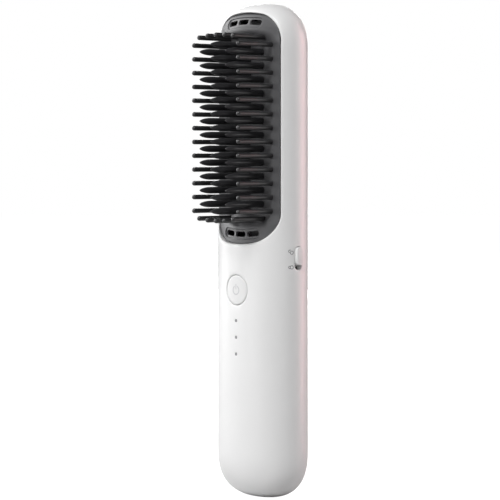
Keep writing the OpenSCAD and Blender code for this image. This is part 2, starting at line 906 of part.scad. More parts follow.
module lock_switch() {
    color("#2a2a2c")
        difference() {
            translate([switch_in, lock_y - 2.6, lock_z - 5])
                cube([switch_out - switch_in, 5.2, 10]);
            translate([switch_out - 1.7, lock_y - slider_width / 2 - 0.1,
                       lock_z - (slider_length + lock_travel) / 2 - 0.3])
                cube([2, slider_width + 0.2, slider_length + lock_travel + 0.6]);
        }
}

module switch_board() {
    color("seagreen")
        translate([rail_out, lock_y - 3.2, lock_z - 6])
            cube([board_wall, 6.4, 12]);
}

// Charging socket in the base

charge_low = 3.8;
charge_width = 14;
module charge_board() {
    color("seagreen")
        translate([-charge_width / 2, socket_y + socket_depth / 2, charge_low])
            cube([charge_width, board_wall, cradle_low - charge_low]);
}

module charge_socket() {
    color("silver")
        translate([0, socket_y, socket_low])
            difference() {
                linear_extrude(socket_length)
                    pill(socket_width, socket_depth);
                translate([0, 0, -0.1])
                    linear_extrude(socket_length - 1)
                        pill(socket_width - 2 * socket_wall, socket_depth - 2 * socket_wall);
            }
}

module socket_tongue() {
    color("#202022")
        translate([-3.3, socket_y - 0.35, socket_low + 0.7])
            cube([6.6, 0.7, socket_length - 1 - 0.8]);
}

// Fasteners

module comb_screws() {
    color("silver")
        for (p = comb_screw_places)
            screw(p[0], p[1], comb_front, carrier_back - comb_front - 0.3);
}

module carrier_screws() {
    color("silver")
        for (p = carrier_screw_places)
            screw(p[0], p[1], frame_front, carrier_back - frame_front + carrier_bite);
}

module cradle_screws() {
    color("silver") {
        screw(cradle_top_screw[0], cradle_top_screw[1], floor_y, cradle_wall + cradle_bite);
        for (s = [-1, 1])
            screw(s * ear_x, ear_z, ear_front, cradle_wall + ear_bite);
    }
}

module board_screws() {
    color("silver")
        for (p = board_screw_places)
            screw(p[0], p[1], board_front, board_wall + board_bite);
}

// A wire in a plane of constant X: an eight-sided tube with mitred bends
wire_sides = 8;
function unit(v) = v / norm(v);
function wire_ring(points, i, r) =
    let (n = len(points) - 1,
         before = unit(i == 0 ? points[1] - points[0] : points[i] - points[i - 1]),
         after = unit(i == n ? points[n] - points[n - 1] : points[i + 1] - points[i]),
         across = cross([1, 0, 0], unit(before + after)),
         widen = 1 / (before * unit(before + after)))
    [for (k = [0:wire_sides - 1]) let (a = 360 * (k + 0.5) / wire_sides)
        points[i] + [r * cos(a), 0, 0] + across * (r * sin(a) * widen)];
module wire(points, r) {
    n = wire_sides;
    last = len(points) - 1;
    polyhedron(
        points = [for (i = [0:last]) each wire_ring(points, i, r)],
        faces = concat(
            [[for (k = [0:n - 1]) k]],
            [[for (k = [n - 1:-1:0]) last * n + k]],
            [for (i = [0:last - 1]) for (k = [0:n - 1]) let (next = (k + 1) % n)
                [i * n + k, (i + 1) * n + k, (i + 1) * n + next, i * n + next]]));
}

module heater_leads() {
    y_out = (comb_back + heater_back) / 2;
    z_end = board_high - 1.8;
    color("firebrick")
        for (s = [-1, 1])
            wire([[s * lead_x, y_out, head_z - heater_half_l],
                  [s * lead_x, y_out, lead_hole_z],
                  [s * lead_x, lead_y, lead_hole_z],
                  [s * lead_x, lead_y, board_high + 2],
                  [s * lead_x, board_back + 2, z_end],
                  [s * lead_x, board_back, z_end]], lead_r);
}

module battery_lead() {
    y = (board_front + board_back) / 2;
    color("firebrick")
        wire([[1, y, cell_low], [1, y, board_low - 12], [1, y, board_low]], 0.5);
}

module ion_leads() {
    color("gray")
        for (s = [-1, 1])
            wire([[s * ion_lead_x, lead_y, ion_module_high],
                  [s * ion_lead_x, lead_y, head_z + s * ion_z],
                  [s * ion_lead_x, carrier_front, head_z + s * ion_z]], lead_r);
}

module charge_lead() {
    y = (board_front + board_back) / 2;
    color("gray")
        wire([[-5.8, socket_y + socket_depth / 2, cradle_low - 1.6],
              [-5.8, y, cradle_low - 1.6], [-5.8, y, board_low]], 0.5);
}

front_shell();
rear_shell();
face_plate();
comb_base();
heated_teeth();
pin_frame();
guard_pins();
heater();
insulation_sheet();
clamp_plate();
thermistor();
thermal_fuse();
head_carrier();
ion_holder_top();
ion_holder_bottom();
ion_needles_top();
ion_needles_bottom();
ion_module();
battery_cell();
cell_tab_low();
cell_tab_high();
cradle();
main_board();
board_chips();
tact_switch();
tact_plunger();
power_button();
button_mark();
light_pipe();
indicator_leds();
lock_knob();
switch_slider();
lock_switch();
switch_board();
charge_board();
charge_socket();
socket_tongue();
comb_screws();
carrier_screws();
cradle_screws();
board_screws();
heater_leads();
battery_lead();
ion_leads();
charge_lead();
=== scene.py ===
# A cordless hair straightening brush, dressed as in its studio photograph.
# Lengths are in metres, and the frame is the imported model's: +Z up, the teeth along -Y, the
# lock on +X.
import math

import bpy
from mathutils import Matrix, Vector


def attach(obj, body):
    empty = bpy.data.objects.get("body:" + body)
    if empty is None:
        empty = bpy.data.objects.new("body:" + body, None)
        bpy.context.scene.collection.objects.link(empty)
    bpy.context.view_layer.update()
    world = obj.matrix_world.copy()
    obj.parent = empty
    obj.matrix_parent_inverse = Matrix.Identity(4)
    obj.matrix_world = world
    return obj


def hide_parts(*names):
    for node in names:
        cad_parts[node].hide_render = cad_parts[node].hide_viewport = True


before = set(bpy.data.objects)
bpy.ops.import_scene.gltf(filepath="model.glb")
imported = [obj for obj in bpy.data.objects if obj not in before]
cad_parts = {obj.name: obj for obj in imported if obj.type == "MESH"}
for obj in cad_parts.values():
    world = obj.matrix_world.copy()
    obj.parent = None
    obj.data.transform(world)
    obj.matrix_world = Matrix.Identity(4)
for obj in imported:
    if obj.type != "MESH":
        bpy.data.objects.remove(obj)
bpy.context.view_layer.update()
MM = 0.001

# Camera
# A long lens, level and a little right of the front. Its height and distance come from the
# perspective of the near and the far rows of tooth tips, and the shift from the framing.
CAMERA_AZIMUTH = math.radians(47)
CAMERA_DISTANCE = 870 * MM
CAMERA_HEIGHT = 142 * MM
FRAME_PIXELS = 500
PIXELS_PER_MM = 2.393
AXIS_PIXEL_X = 262.65
HORIZON_PIXEL_Y = 155

camera_data = bpy.data.cameras.new("camera")
camera_data.sensor_width = 36
camera_data.lens = PIXELS_PER_MM * CAMERA_DISTANCE / MM * camera_data.sensor_width / FRAME_PIXELS
camera_data.shift_x = (FRAME_PIXELS / 2 - AXIS_PIXEL_X) / FRAME_PIXELS
camera_data.shift_y = (HORIZON_PIXEL_Y - FRAME_PIXELS / 2) / FRAME_PIXELS
camera_data.clip_start = 0.01
camera = bpy.data.objects.new("camera", camera_data)
camera.location = (CAMERA_DISTANCE * math.sin(CAMERA_AZIMUTH),
                   -CAMERA_DISTANCE * math.cos(CAMERA_AZIMUTH), CAMERA_HEIGHT)
camera.rotation_euler = (math.radians(90), 0, CAMERA_AZIMUTH)
bpy.context.collection.objects.link(camera)
bpy.context.scene.camera = camera
bpy.context.scene.view_settings.view_transform = "Standard"


# Studio
# A white floor and white surroundings that the camera sees burnt out, as in the photograph.
# The light itself comes from soft boxes: one above the brush in front, others low all round
# it, and for the gloss alone a tall card at the left and a pink strip behind on the right.
FLOOR_RADIUS = 4.0
AIM_HEIGHT = 0.1


def srgb(code):
    """The linear colour of an sRGB hex code, with full alpha."""
    channels = [int(code[i:i + 2], 16) / 255 for i in (1, 3, 5)]
    return tuple(c / 12.92 if c <= 0.04045 else ((c + 0.055) / 1.055) ** 2.4
                 for c in channels) + (1.0,)


def add_node(tree, kind, inputs=None, **settings):
    """Adds a node with its settings, and gives its inputs their values or links."""
    new = tree.nodes.new(kind)
    for name, value in settings.items():
        setattr(new, name, value)
    for name, value in (inputs or {}).items():
        if isinstance(value, bpy.types.NodeSocket):
            tree.links.new(value, new.inputs[name])
        else:
            new.inputs[name].default_value = value
    return new


def new_material(name):
    """A material without nodes, and its tree."""
    material = bpy.data.materials.new(name)
    material.use_nodes = True
    material.node_tree.nodes.clear()
    return material, material.node_tree


# Matt white paint, over-lit where the camera sees it.
white_paint, tree = new_material("matt white paint, over-lit")
seen = add_node(tree, "ShaderNodeLightPath").outputs["Is Camera Ray"]
paint = add_node(tree, "ShaderNodeBsdfPrincipled", {
    "Base Color": srgb("#c4c4c4"), "Roughness": 0.95, "Specular IOR Level": 0.1,
    "Emission Color": srgb("#ffffff"), "Emission Strength": seen})
add_node(tree, "ShaderNodeOutputMaterial", {"Surface": paint.outputs["BSDF"]})

bpy.ops.object.select_all(action="DESELECT")
bpy.ops.mesh.primitive_circle_add(vertices=96, radius=FLOOR_RADIUS, fill_type="NGON")
floor = bpy.context.object
floor.name = "floor"
floor.data.materials.append(white_paint)

room = bpy.data.worlds.new("studio")
bpy.context.scene.world = room
room.use_nodes = True
tree = room.node_tree
seen = add_node(tree, "ShaderNodeLightPath").outputs["Is Camera Ray"]
tree.nodes["Background"].inputs["Color"].default_value = srgb("#ffffff")
tree.links.new(seen, tree.nodes["Background"].inputs["Strength"])


def soft_box(name, azimuth, elevation, distance, width, height, power, colour, gloss_only=False):
    """A rectangular light aimed at the middle of the brush. Azimuth 0 stands in front of it,
    and 90 at its right. Angles are in degrees, sizes in metres and the power in watts."""
    data = bpy.data.lights.new(name, "AREA")
    data.shape = "RECTANGLE"
    data.size = width
    data.size_y = height
    data.energy = power
    data.color = srgb(colour)[:3]
    lamp = bpy.data.objects.new(name, data)
    lamp.visible_camera = False
    lamp.visible_diffuse = not gloss_only
    turn = math.radians(azimuth)
    rise = math.radians(elevation)
    back = Vector((math.sin(turn) * math.cos(rise), -math.cos(turn) * math.cos(rise),
                   math.sin(rise)))
    lamp.location = Vector((0, 0, AIM_HEIGHT)) + back * distance
    lamp.rotation_euler = back.to_track_quat("Z", "Y").to_euler()
    bpy.context.collection.objects.link(lamp)


soft_box("upper box", 30, 52, 1.3, 0.6, 0.6, 11.5, "#ffffff")
soft_box("upper left box", -60, 52, 1.3, 0.6, 0.6, 3.3, "#ffffff")
soft_box("left box", -90, 30, 1.3, 0.6, 0.6, 4.2, "#ffffff")
soft_box("low left box", -75, 8, 1.3, 0.6, 0.6, 3.2, "#ffffff")
soft_box("low front box", -15, 8, 1.3, 0.6, 0.6, 4.7, "#ffffff")
soft_box("low right box", 135, 8, 1.3, 0.6, 0.6, 2.9, "#ffffff")
soft_box("low back box", 165, 8, 1.3, 0.6, 0.6, 3.2, "#ffe4e5")
soft_box("far left box", -135, 8, 1.3, 0.6, 0.6, 9.5, "#ffffff")
soft_box("left card", -60, 12, 1.1, 1.0, 1.4, 12.6, "#ffffff", gloss_only=True)
soft_box("pink strip", 150, 3, 0.25, 0.068, 0.45, 0.62, "#ffb9bd", gloss_only=True)


# Shells
# Two injection moulded halves in white ABS that meet behind the widest line. The front one
# has a pocket with a soft rim for the tooth plate, and holes for the button, the lock,
# the three lights and the charging plug.
BODY_LENGTH = 205 * MM
HALF_WIDTH = 21.75 * MM
HALF_DEPTH = 15.1 * MM
SECTION_POWER = 2.1
END_RISE = 20 * MM
END_POWER = 2.6
END_LEAN = 1.3 * MM
LEAN_POWER = 7
BASE_SHARE = 15.6 / 43.5
TOP_SHARE = 0.12
SHELL_WALL = 2 * MM
SEAM_Y = 5 * MM
SEAM_GAP = 0.03 * MM
SEAM_EDGE = 0.12 * MM
AROUND = 160
END_RINGS = 34
STRAIGHT_RINGS = 60
CAVITY_AROUND = 72
CAVITY_END_RINGS = 14
CAVITY_STRAIGHT_RINGS = 10
CAVITY_SHARE = 0.3


def left_at(share):
    """How much of the section is left at a share of the rise of an end."""
    return max(0.0, 1 - share ** END_POWER) ** (1 / END_POWER)


BASE_SINK = END_RISE * (1 - left_at(BASE_SHARE))


def section_at(z, inset=0.0):
    """The scale of the section at a height, and how far it leans back."""
    rise = END_RISE - inset
    low = z - (inset - BASE_SINK)
    high = BODY_LENGTH - inset - z
    share = min(1.0, max(0.0, 1 - min(low, high) / rise))
    return left_at(share), END_LEAN * share ** LEAN_POWER


def body_front(x, z, inset=0.0):
    """The Y of the front of the body at a place."""
    scale, lean = section_at(z, inset)
    across = min(1.0, abs(x) / max(1e-9, (HALF_WIDTH - inset) * scale))
    depth = (HALF_DEPTH - inset) * scale
    return lean - depth * (1 - across ** SECTION_POWER) ** (1 / SECTION_POWER)


def body_side(y, z, inset=0.0):
    """The X of the right side of the body at a place."""
    scale, lean = section_at(z, inset)
    along = min(1.0, abs(y - lean) / max(1e-9, (HALF_DEPTH - inset) * scale))
    return (HALF_WIDTH - inset) * scale * (1 - along ** SECTION_POWER) ** (1 / SECTION_POWER)


def alone(piece):
    """Leaves only this piece selected and active."""
    bpy.ops.object.select_all(action="DESELECT")
    piece.select_set(True)
    bpy.context.view_layer.objects.active = piece


def cut(piece, tool, operation="DIFFERENCE"):
    """Cuts, joins or keeps a piece with a tool, which is then thrown away."""
    alone(piece)
    step = piece.modifiers.new("cut", "BOOLEAN")
    step.operation = operation
    step.solver = "EXACT"
    step.object = tool
    bpy.ops.object.modifier_apply(modifier=step.name)
    bpy.data.objects.remove(tool, do_unlink=True)


def smooth(piece, angle=30):
    """Smooth shading, with edges sharper than the angle kept."""
    alone(piece)
    bpy.ops.object.shade_smooth_by_angle(angle=math.radians(angle))


def body_form(name, inset, around, end_rings, straight_rings, low_share, high_share):
    """The body drawn in by an inset: a sphere whose rings are set on the body's sections."""
    rise = END_RISE - inset
    low = inset - BASE_SINK
    high = BODY_LENGTH - inset
    rows = []
    for share, from_z, direction in ((low_share, low, 1), (high_share, high, -1)):
        first = math.asin(share ** (END_POWER / 2))
        rolled = []
        for i in range(end_rings + 1):
            turn = first + (math.pi / 2 - first) * i / end_rings
            left = math.cos(turn) ** (2 / END_POWER)
            rolled.append((math.sin(turn) ** (2 / END_POWER),
                           from_z + direction * rise * (1 - left),
                           END_LEAN * left ** LEAN_POWER))
        if direction > 0:
            rows += rolled + [(1.0, low + rise + (high - low - 2 * rise) * i / straight_rings,
                               0.0) for i in range(1, straight_rings)]
        else:
            rows += rolled[::-1]
    bpy.ops.object.select_all(action="DESELECT")
    bpy.ops.mesh.primitive_uv_sphere_add(segments=around, ring_count=len(rows) + 1, radius=1)
    form = bpy.context.object
    form.name = name
    for vert in form.data.vertices:
        step = 1 - math.acos(max(-1.0, min(1.0, vert.co.z))) / math.pi
        row = round(step * (len(rows) + 1)) - 1
        scale, z, lean = rows[min(max(row, 0), len(rows) - 1)]
        if row < 0 or row == len(rows):
            scale = 0.0
        turn = math.atan2(vert.co.y, vert.co.x)
        c, s = math.cos(turn), math.sin(turn)
        power = 2 / SECTION_POWER
        vert.co = (math.copysign((HALF_WIDTH - inset) * scale * abs(c) ** power, c),
                   lean + math.copysign((HALF_DEPTH - inset) * scale * abs(s) ** power, s), z)
    return form


def half_of(piece, y, side):
    """Keeps what lies on one side of a plane of constant Y, and closes it there."""
    alone(piece)
    bpy.ops.object.mode_set(mode="EDIT")
    bpy.ops.mesh.select_all(action="SELECT")
    bpy.ops.mesh.bisect(plane_co=(0, y, 0), plane_no=(0, side, 0), use_fill=True,
                        clear_inner=True)
    bpy.ops.object.mode_set(mode="OBJECT")


def soften_seam(piece, y):
    """Rounds the outer edge where the shells meet, which leaves a fine line between them."""
    alone(piece)
    bpy.ops.object.mode_set(mode="EDIT")
    bpy.context.tool_settings.mesh_select_mode = (False, True, False)
    bpy.ops.mesh.select_all(action="DESELECT")
    bpy.ops.object.mode_set(mode="OBJECT")
    mesh = piece.data
    for edge in mesh.edges:
        a, b = (mesh.vertices[i].co for i in edge.vertices)
        if abs(a.y - y) < 1e-7 and abs(b.y - y) < 1e-7:
            middle = (a + b) / 2
            outer = body_side(middle.y, middle.z)
            edge.select = abs(abs(middle.x) - outer) < 0.3 * MM or middle.z < 1e-6
    bpy.ops.object.mode_set(mode="EDIT")
    bpy.ops.mesh.bevel(offset=SEAM_EDGE, segments=2, profile=0.5, affect="EDGES")
    bpy.ops.object.mode_set(mode="OBJECT")


front_shell = body_form("front_shell_skin", 0.0, AROUND, END_RINGS, STRAIGHT_RINGS,
                        BASE_SHARE, TOP_SHARE)
rear_shell = front_shell.copy()
rear_shell.data = front_shell.data.copy()
rear_shell.name = "rear_shell_skin"
bpy.context.collection.objects.link(rear_shell)
half_of(front_shell, SEAM_Y - SEAM_GAP / 2, -1)
half_of(rear_shell, SEAM_Y + SEAM_GAP / 2, 1)
for shell in (front_shell, rear_shell):
    cut(shell, body_form("cavity", SHELL_WALL, CAVITY_AROUND, CAVITY_END_RINGS,
                         CAVITY_STRAIGHT_RINGS, CAVITY_SHARE, CAVITY_SHARE))

# The pocket for the tooth plate: an outline with arched ends and round corners, whose
# moulded rim rolls over into the front of the body. Tools reach well past the brush.
FAR_FRONT = -40 * MM
FAR_RIGHT = 30 * MM
POCKET_FLOOR = 2 * MM
HEAD_Z = 153.1 * MM
PLATE_HALF_WIDTH = 18.6 * MM
PLATE_HALF_LENGTH = 47.8 * MM
PLATE_END_R = 48 * MM
PLATE_CORNER_R = 12 * MM
PLATE_GAP = 0.08 * MM
PLATE_INSET = 2 * MM
PLATE_CROWN_R = 33 * MM
FIELD_Y = 7.2 * MM - HALF_DEPTH
FIELD_HALF_LENGTH = 33.5 * MM
FIELD_SLOPE = 8 * MM
PLATE_WALL = 1.6 * MM
LEDGE_WIDTH = 1.3 * MM
LEDGE_WALL = 1.8 * MM
LEDGE_TOP_Z = 201.9 * MM
SEAT_BORDER = 1.15 * MM
POCKET_RIM = 1.2 * MM


def plate_outline(offset, end_steps=14, corner_steps=16, side_steps=40):
    """Points round the plate, moved outwards by an offset, each with its outward direction."""
    corner_x = PLATE_HALF_WIDTH - PLATE_CORNER_R
    arc_z = PLATE_HALF_LENGTH - PLATE_END_R
    corner_z = arc_z + math.sqrt((PLATE_END_R - PLATE_CORNER_R) ** 2 - corner_x ** 2)
    turn = math.atan2(corner_x, corner_z - arc_z)
    quarter = []
    for i in range(end_steps):
        a = turn * i / end_steps
        quarter.append((PLATE_END_R * math.sin(a), arc_z + PLATE_END_R * math.cos(a), a))
    for i in range(corner_steps + 1):
        a = turn + (math.pi / 2 - turn) * i / corner_steps
        quarter.append((corner_x + PLATE_CORNER_R * math.sin(a),
                        corner_z + PLATE_CORNER_R * math.cos(a), a))
    for i in range(1, side_steps):
        quarter.append((PLATE_HALF_WIDTH, corner_z * (1 - i / side_steps), math.pi / 2))
    quarter.append((PLATE_HALF_WIDTH, 0.0, math.pi / 2))
    right = quarter + [(x, -z, math.pi - a) for x, z, a in quarter[-2::-1]]
    whole = right + [(-x, z, -a) for x, z, a in right[-2:0:-1]]
    return [(x + offset * math.sin(a), HEAD_Z + z + offset * math.cos(a),
             math.sin(a), math.cos(a)) for x, z, a in whole]


def plate_front(x, z):
    """The Y of the front of the plate at a place: crowned ends that follow the body, and
    between them a flat sunken field for the teeth."""
    share = min(1.0, max(0.0, 1 - (BODY_LENGTH - z) / END_RISE))
    sag = PLATE_CROWN_R - math.sqrt(PLATE_CROWN_R ** 2 - x * x)
    crown = sag + PLATE_INSET + END_LEAN * share ** LEAN_POWER - HALF_DEPTH * left_at(share)
    field = min(1.0, max(0.0, 1 - (abs(z - HEAD_Z) - FIELD_HALF_LENGTH) / FIELD_SLOPE))
    return crown + (FIELD_Y - crown) * field * field * (3 - 2 * field)


def ring_form(name, rings, closed=False):
    """A form skinned over rings of points, for walls that roll over into a curved surface.
    It is closed at its ends by strips from side to side, or on itself."""
    count = len(rings[0])
    faces = []
    for i in range(len(rings) if closed else len(rings) - 1):
        low, high = i * count, (i + 1) % len(rings) * count
        faces += [(low + k, low + (k + 1) % count, high + (k + 1) % count, high + k)
                  for k in range(count)]
    if not closed:
        for low in (0, (len(rings) - 1) * count):
            faces.append((low, low + 1, low + count - 1))
            faces += [(low + k, low + k + 1, low + count - k - 1, low + count - k)
                      for k in range(1, count // 2 - 1)]
            faces.append((low + count // 2 - 1, low + count // 2, low + count // 2 + 1))
    mesh = bpy.data.meshes.new(name)
    mesh.from_pydata([point for ring in rings for point in ring], [], faces)
    piece = bpy.data.objects.new(name, mesh)
    bpy.context.collection.objects.link(piece)
    alone(piece)
    bpy.ops.object.mode_set(mode="EDIT")
    bpy.ops.mesh.select_all(action="SELECT")
    bpy.ops.mesh.normals_make_consistent(inside=False)
    bpy.ops.object.mode_set(mode="OBJECT")
    return piece


def rolled_tool(name, outline, surface, radius, floor_y, outwards=1):
    """A cutting tool whose wall rolls over into a surface: outwards for a pocket or a hole
    with a soft rim, or inwards to keep a plate with a soft edge. The outline holds points
    with their outward directions, and the surface gives Y at a place."""
    rolls = [math.radians(angle) for angle in (0, 15, 30, 45, 60, 70, 80)]
    steps = [(radius * (1 - math.cos(a)), radius * (1 - math.sin(a))) for a in rolls]
    steps.append((radius * 0.97, -radius * 0.02))
    rings = [[(x, floor_y, z) for x, z, nx, nz in outline]]
    for out, drop in steps:
        ring = []
        for x, z, nx, nz in outline:
            px = x + outwards * out * nx
            pz = z + outwards * out * nz
            ring.append((px, surface(px, pz) + drop, pz))
        rings.append(ring)
    rings.append([(x, FAR_FRONT, z) for x, y, z in rings[-1]])
    return ring_form(name, rings)


cut(front_shell, rolled_tool("pocket", plate_outline(PLATE_GAP), body_front, POCKET_RIM,
                             POCKET_FLOOR))


def ledge():
    """The ring behind the edge of the plate that carries it."""
    rings = []
    for offset, depth in ((SEAT_BORDER, 0.0), (SEAT_BORDER, LEDGE_WALL),
                          (-LEDGE_WIDTH, LEDGE_WALL), (-LEDGE_WIDTH, 0.0)):
        rings.append([(x, plate_front(x, min(z, LEDGE_TOP_Z)) + PLATE_WALL + depth, z)
                      for x, z, nx, nz in plate_outline(offset)])
    return ring_form("ledge", rings, closed=True)


# The hole for the power button, with a fine rounded edge.
BUTTON_Z = 86.2 * MM
BUTTON_R = 6.2 * MM
BUTTON_GAP = 0.14 * MM
BUTTON_RIM = 0.5 * MM
HOLE_FLOOR = -8 * MM


def circle(centre_x, centre_z, radius, count=64):
    """Points round a circle seen from the front, with their outward directions."""
    turns = [2 * math.pi * i / count for i in range(count)]
    return [(centre_x + radius * math.sin(a), centre_z + radius * math.cos(a),
             math.sin(a), math.cos(a)) for a in turns]


cut(front_shell, rolled_tool("button hole", circle(0, BUTTON_Z, BUTTON_R + BUTTON_GAP, 96),
                             body_front, BUTTON_RIM, HOLE_FLOOR))

# The three holes for the ends of the light guide.
LED_Z = 73.6 * MM
LED_PITCH = 6.9 * MM
LED_R = 0.7 * MM
LED_RIM = 0.08 * MM
for row in range(3):
    cut(front_shell, rolled_tool("light hole", circle(0, LED_Z - row * LED_PITCH, LED_R, 32),
                                 body_front, LED_RIM, HOLE_FLOOR))

# The slot for the lock: a pill on the right side.
LOCK_Z = 99.6 * MM
LOCK_Y = -0.25 * MM
LOCK_LENGTH = 7.5 * MM
LOCK_WIDTH = 3.3 * MM
LOCK_TRAVEL = 1.9 * MM
LOCK_GAP = 0.15 * MM
LOCK_FLANGE = 1 * MM
LOCK_FLANGE_WIDTH = 5 * MM
LOCK_FLANGE_X = body_side(abs(LOCK_Y) + LOCK_FLANGE_WIDTH / 2, LOCK_Z, SHELL_WALL) - 0.3 * MM
SLOT_RIM = 0.25 * MM
SLOT_FLOOR = 15 * MM


def pill(centre_y, centre_z, width, length, count=20):
    """Points round an upright pill seen from the right, with their outward directions."""
    radius = width / 2
    straight = length / 2 - radius
    points = []
    for end in (1, -1):
        for i in range(count + 1):
            a = math.pi * i / count
            ny, nz = end * math.cos(a), end * math.sin(a)
            points.append((centre_y + radius * ny, centre_z + end * straight + radius * nz,
                           ny, nz))
    return points


def side_tool(name, outline, radius, floor_x):
    """A cutting tool from the right side, whose wall rolls over into the body's side."""
    rings = [[(floor_x, y, z) for y, z, ny, nz in outline]]
    steps = [(radius * (1 - math.cos(a)), radius * (1 - math.sin(a)))
             for a in (math.radians(angle) for angle in (0, 20, 40, 60, 80))]
    steps.append((radius * 0.97, -radius * 0.02))
    for out, drop in steps:
        ring = []
        for y, z, ny, nz in outline:
            py, pz = y + out * ny, z + out * nz
            ring.append((body_side(py, pz) - drop, py, pz))
        rings.append(ring)
    rings.append([(FAR_RIGHT, y, z) for x, y, z in rings[-1]])
    return ring_form(name, rings)


cut(front_shell, side_tool("slot", pill(LOCK_Y, LOCK_Z, LOCK_WIDTH + 2 * LOCK_GAP,
                                        LOCK_LENGTH + LOCK_TRAVEL + 2 * LOCK_GAP),
                           SLOT_RIM, SLOT_FLOOR))

# The opening for the charging plug, in the flat of the base.
SOCKET_Y = 2.4 * MM
SOCKET_WIDTH = 8.94 * MM
SOCKET_DEPTH = 3.26 * MM
SOCKET_GAP = 0.2 * MM


def lying_pill(width, depth, count=16):
    """Points round a pill in the base, with their outward directions."""
    return [(z, SOCKET_Y + y, nz, ny) for y, z, ny, nz in pill(0, 0, depth, width, count)]


def plug_opening():
    """A tool for the opening, flared at the mouth. Its steps hold how far each ring lies
    outside the outline, and how high it is, in millimetres."""
    outline = lying_pill(SOCKET_WIDTH + 2 * SOCKET_GAP, SOCKET_DEPTH + 2 * SOCKET_GAP)
    rings = []
    for out, z in ((0.35, -1), (0.35, -0.01), (0.12, 0.12), (0, 0.4), (0, 5)):
        rings.append([(x + out * MM * nx, y + out * MM * ny, z * MM)
                      for x, y, nx, ny in outline])
    return ring_form("plug opening", rings)


cut(front_shell, plug_opening())
cut(front_shell, ledge(), "UNION")

# Screw posts of the rear shell: four carry the head, one and two carry the cradle. Each has
# its X, its Z, its radius and the Y of its front.
CARRIER_BACK = 0.8 * MM
HEAD_POST_X = 12 * MM
HEAD_POST_RISE = 31.35 * MM
POST_R = 2.8 * MM
SLIM_POST_R = 2.2 * MM
POSTS = [(sx * HEAD_POST_X, HEAD_Z + sz * HEAD_POST_RISE, POST_R, CARRIER_BACK)
         for sx in (-1, 1) for sz in (-1, 1)]
POSTS += [(0.0, 99.6 * MM, POST_R, 7 * MM)]
POSTS += [(sx * 14.5 * MM, 30 * MM, SLIM_POST_R, 6 * MM) for sx in (-1, 1)]
POST_SINK = 0.6 * MM
PILOT_R = 1 * MM
PILOT_DEPTH = 5 * MM


def rod(name, x, z, radius, front, back, sides=40):
    """A round rod along Y."""
    bpy.ops.object.select_all(action="DESELECT")
    bpy.ops.mesh.primitive_cylinder_add(vertices=sides, radius=radius, depth=back - front,
                                        location=(x, (front + back) / 2, z),
                                        rotation=(math.radians(90), 0, 0))
    piece = bpy.context.object
    piece.name = name
    bpy.ops.object.transform_apply(location=True, rotation=True, scale=True)
    return piece


for x, z, radius, front in POSTS:
    wall = -body_front(abs(x) + radius, z) - POST_SINK
    cut(rear_shell, rod("post", x, z, radius, front, wall), "UNION")
    cut(rear_shell, rod("pilot hole", x, z, PILOT_R, front - 1 * MM, front + PILOT_DEPTH))

soften_seam(front_shell, SEAM_Y - SEAM_GAP / 2)
soften_seam(rear_shell, SEAM_Y + SEAM_GAP / 2)
smooth(front_shell)
smooth(rear_shell)


def moulded_plastic(name, colour, roughness, grain, depth, coat=0.0, mottle=0.02):
    """Moulded plastic: the fine spark-eroded grain of its mould, drawn as coarse as it has
    to be to show, and a trace of unevenness in its colour."""
    material, tree = new_material(name)
    place = add_node(tree, "ShaderNodeTexCoord").outputs["Object"]
    flow = add_node(tree, "ShaderNodeTexNoise", {"Vector": place, "Scale": 60.0, "Detail": 2.0})
    base = srgb(colour)
    light = tuple(min(1.0, c * (1 + mottle)) for c in base[:3]) + (1.0,)
    dark = tuple(c * (1 - mottle) for c in base[:3]) + (1.0,)
    tone = add_node(tree, "ShaderNodeMix", {"Factor": flow.outputs["Fac"]}, data_type="RGBA")
    tone.inputs[6].default_value = dark
    tone.inputs[7].default_value = light
    grit = add_node(tree, "ShaderNodeTexNoise", {
        "Vector": place, "Scale": 1 / grain, "Detail": 3.0, "Roughness": 0.6})
    bump = add_node(tree, "ShaderNodeBump", {
        "Height": grit.outputs["Fac"], "Strength": 0.5, "Distance": depth})
    sheen = add_node(tree, "ShaderNodeMapRange", {
        "Value": grit.outputs["Fac"], "To Min": roughness - 0.04, "To Max": roughness + 0.04})
    plastic = add_node(tree, "ShaderNodeBsdfPrincipled", {
        "Base Color": tone.outputs[2], "Roughness": sheen.outputs["Result"], "IOR": 1.5,
        "Coat Weight": coat, "Coat Roughness": 0.25, "Normal": bump.outputs["Normal"]})
    add_node(tree, "ShaderNodeOutputMaterial", {"Surface": plastic.outputs["BSDF"]})
    return material


def dress(piece, material):
    """Gives a piece its one finish."""
    piece.data.materials.clear()
    piece.data.materials.append(material)


# White ABS with a satin mould finish: soft highlights and no visible grain from a step away.
white_abs = moulded_plastic("white ABS, satin", "#efefef", 0.38, 0.25 * MM, 0.004 * MM)
for shell, node_name in ((front_shell, "front_shell"), (rear_shell, "rear_shell")):
    dress(shell, white_abs)
    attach(shell, "body")
    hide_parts(node_name)


# Face plate
# A plate of dark grey heat-resistant nylon with a matt texture, crowned at its ends and sunk
# into a flat field between them. The field has a hole round each tooth, and each end has a
# group of three vents in a shallow recess.
ROW_PITCH = 5.7 * MM
ROW_HALF = 6
OUTER_X = 13.6 * MM
SIDE_X = 7.85 * MM
PIN_R = 1 * MM
TOOTH_R = 1.4 * MM
TOOTH_GAP = 0.12 * MM
END_ROW_Z = 38.1 * MM
END_ROW_R = 70 * MM
END_ROW_PITCH = 5.2 * MM
VENT_Z = 43.9 * MM
VENT_WIDTH = 5.6 * MM
VENT_HEIGHT = 2.1 * MM
VENT_PITCH = 6.8 * MM
VENT_ARC_R = 66 * MM
VENT_BORDER = 1 * MM
VENT_RECESS = 0.5 * MM
VENT_CORNER = 0.85 * MM
PLATE_EDGE = 0.25 * MM
BLANK_MARGIN = 1 * MM

